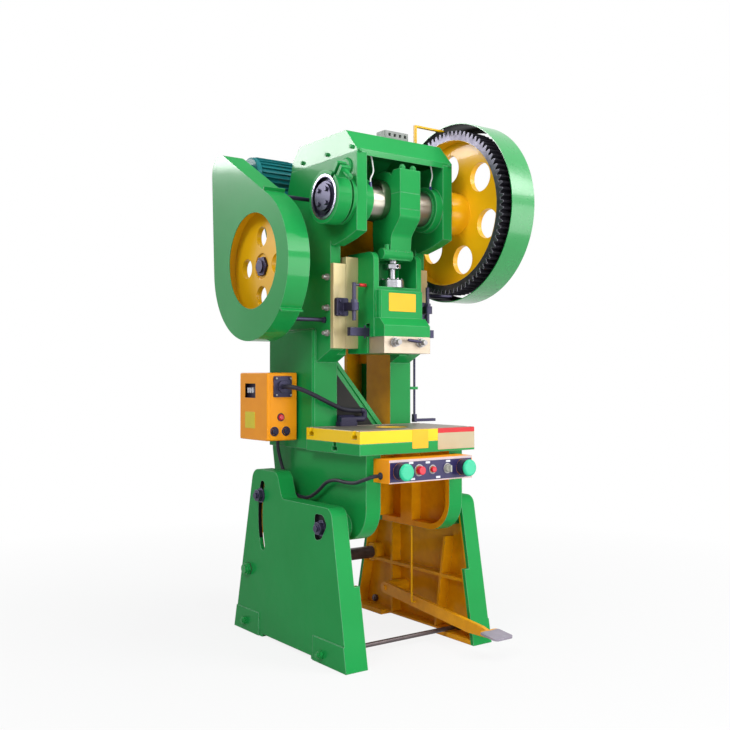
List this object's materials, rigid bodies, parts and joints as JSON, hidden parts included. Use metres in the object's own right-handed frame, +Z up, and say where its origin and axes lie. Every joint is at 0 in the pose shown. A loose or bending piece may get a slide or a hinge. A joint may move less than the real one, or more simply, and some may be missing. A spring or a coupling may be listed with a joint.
{
  "type": "mechanical stamping press",
  "caption": "Open-back inclinable crank press with slide, bolster table, guarded flywheel and gear, two tilt legs, treadle and two-hand control box.",
  "frame": {"origin": "on the floor, in the centre of the four foundation-bolt holes of the legs", "axes": "+Z up, -Y towards the operator, +X to the operator's right (the gear's side)"},
  "size_m": [0.89, 1.0756, 2.104],
  "materials": {
    "green_paint": "gloss",
    "yellow_paint": "gloss",
    "orange_paint": "gloss",
    "teal_paint": "satin",
    "ground_steel": "satin",
    "dark_steel": "satin",
    "nut_steel": "satin",
    "gib_metal": "matt",
    "black_sheet": "matt",
    "black_rubber": "matt",
    "nylon": "satin",
    "dark_plastic": "satin",
    "green_plastic": "gloss",
    "red_plastic": "gloss",
    "grey_plastic": "satin",
    "red_lens": "gloss"
  },
  "bodies": {
    "base": {"left_leg": "green_paint", "right_leg": "green_paint", "tie_rods": "nut_steel"},
    "frame": {"frame_casting": "green_paint", "tilt_bolts": "dark_steel", "bolster_plate": "green_paint", "head_cover": "green_paint", "roof_vent": "grey_plastic", "crank_sleeves": "green_paint", "brake_band": "green_paint", "brake_bolt": "nut_steel", "gibs": "gib_metal", "gib_keepers": "gib_metal", "gib_screws": "nut_steel", "knockout_brackets": "dark_steel", "knockout_screws": "dark_steel", "shaft_bushes": "green_paint", "drive_belts": "black_rubber", "motor_body": "teal_paint", "motor_bracket": "green_paint", "belt_guard": "green_paint", "gear_guard": "green_paint", "guard_stays": "green_paint", "guard_bracket": "yellow_paint", "grease_pipes": "nylon", "throat_shield": "black_sheet", "electrical_box": "orange_paint", "hose_flange": "dark_steel", "hose": "black_rubber", "foot_switch": "dark_plastic", "button_lead": "black_rubber", "button_box": "orange_paint", "palm_shrouds": "dark_plastic", "pilot_lamp": "red_lens"},
    "crank": {"crankshaft": "ground_steel", "brake_drum": "dark_steel"},
    "rod": {"conrod_body": "green_paint", "conrod_cap": "green_paint", "conrod_bolts": "green_paint"},
    "slide": {"slide_body": "green_paint", "shank_clamp": "ground_steel", "clamp_studs": "nut_steel", "ball_cap": "ground_steel"},
    "screw": {"adjusting_screw": "ground_steel"},
    "knockout": {"knockout_bar": "dark_steel"},
    "gear": {"big_gear": "yellow_paint"},
    "drive": {"pinion_shaft": "nut_steel", "flywheel": "yellow_paint"},
    "motor_rotor": {"motor_pulley": "dark_steel"},
    "treadle": {"treadle": "yellow_paint"},
    "pull_rod": {"pull_rod": "nut_steel"},
    "clutch_rod": {"clutch_rod": "dark_steel"},
    "door": {"box_door": "orange_paint"},
    "left_palm": {"left_palm_button": "green_plastic"},
    "right_palm": {"right_palm_button": "green_plastic"},
    "stop": {"stop_button": "red_plastic"},
    "inch": {"inch_button": "red_plastic"},
    "selector": {"selector_knob": "grey_plastic"},
    "start_left": {"box_button_left": "dark_plastic"},
    "start_right": {"box_button_right": "dark_plastic"}
  },
  "joints": [
    {"name": "frame_tilt", "type": "hinge", "parent": "base", "child": "frame", "pos_m": [0, -0.24, 0.497], "axis": [-1, 0, 0], "range_deg": [0, 15]},
    {"name": "crank_turn", "type": "hinge", "parent": "frame", "child": "crank", "pos_m": [0, -0.225, 1.736], "axis": [1, 0, 0], "range_deg": [0, 180]},
    {"name": "rod_swing", "type": "hinge", "parent": "crank", "child": "rod", "pos_m": [0, -0.225, 1.7685], "axis": [1, 0, 0], "range_deg": [-180, 0]},
    {"name": "slide_stroke", "type": "slide", "parent": "frame", "child": "slide", "axis": [0, 0, 1], "range_m": [-0.065, 0]},
    {"name": "adjusting_turn", "type": "hinge", "parent": "slide", "child": "screw", "pos_m": [0, -0.225, 1.398], "axis": [0, 0, 1], "range_deg": [-180, 180]},
    {"name": "knockout_lift", "type": "slide", "parent": "slide", "child": "knockout", "axis": [0, 0, 1], "range_m": [0, 0.015]},
    {"name": "gear_spin", "type": "hinge", "parent": "frame", "child": "gear", "pos_m": [0, -0.225, 1.736], "axis": [1, 0, 0], "continuous": true},
    {"name": "shaft_spin", "type": "hinge", "parent": "frame", "child": "drive", "pos_m": [0, 0.086, 1.49737], "axis": [1, 0, 0], "continuous": true},
    {"name": "motor_spin", "type": "hinge", "parent": "frame", "child": "motor_rotor", "pos_m": [-0.4, 0.335, 1.908], "axis": [1, 0, 0], "continuous": true},
    {"name": "treadle_press", "type": "hinge", "parent": "base", "child": "treadle", "pos_m": [0.225, 0.11, 0.14], "axis": [1, 0, 0], "range_deg": [0, 4.5], "stiffness_Nm_per_rad": 200, "springref_deg": -9.17},
    {"name": "pull_rod_hook", "type": "hinge", "parent": "treadle", "child": "pull_rod", "pos_m": [0.225, -0.1, 0.11869], "axis": [1, 0, 0], "range_deg": [-4.5, 0]},
    {"name": "clutch_rod_pull", "type": "slide", "parent": "frame", "child": "clutch_rod", "axis": [0, 0, 1], "range_m": [-0.016, 0]},
    {"name": "box_door_swing", "type": "hinge", "parent": "frame", "child": "door", "pos_m": [-0.385, 0.2937, 0.94], "axis": [0, 0, -1], "range_deg": [0, 110]},
    {"name": "left_palm_press", "type": "slide", "parent": "frame", "child": "left_palm", "axis": [0, 1, 0], "range_m": [0, 0.006], "stiffness_N_per_m": 400, "springref_m": -0.002},
    {"name": "right_palm_press", "type": "slide", "parent": "frame", "child": "right_palm", "axis": [0, 1, 0], "range_m": [0, 0.006], "stiffness_N_per_m": 400, "springref_m": -0.002},
    {"name": "stop_press", "type": "slide", "parent": "frame", "child": "stop", "axis": [0, 1, 0], "range_m": [0, 0.004], "stiffness_N_per_m": 400, "springref_m": -0.002},
    {"name": "inch_press", "type": "slide", "parent": "frame", "child": "inch", "axis": [0, 1, 0], "range_m": [0, 0.004], "stiffness_N_per_m": 400, "springref_m": -0.002},
    {"name": "selector_turn", "type": "hinge", "parent": "frame", "child": "selector", "pos_m": [0.076, -0.47, 0.714], "axis": [0, 1, 0], "range_deg": [0, 45]},
    {"name": "start_left_press", "type": "slide", "parent": "frame", "child": "start_left", "axis": [0, 1, 0], "range_m": [0, 0.004], "stiffness_N_per_m": 400, "springref_m": -0.002},
    {"name": "start_right_press", "type": "slide", "parent": "frame", "child": "start_right", "axis": [0, 1, 0], "range_m": [0, 0.004], "stiffness_N_per_m": 400, "springref_m": -0.002}
  ],
  "couplings": [
    {"joint": "rod_swing", "follows": "crank_turn", "ratio": -1},
    {"joint": "slide_stroke", "follows": "crank_turn", "m_per_rad": -0.02069},
    {"joint": "shaft_spin", "follows": "gear_spin", "ratio": -5.125},
    {"joint": "motor_spin", "follows": "gear_spin", "ratio": -27.06},
    {"joint": "pull_rod_hook", "follows": "treadle_press", "ratio": -1},
    {"joint": "clutch_rod_pull", "follows": "treadle_press", "m_per_rad": -0.20372}
  ]
}
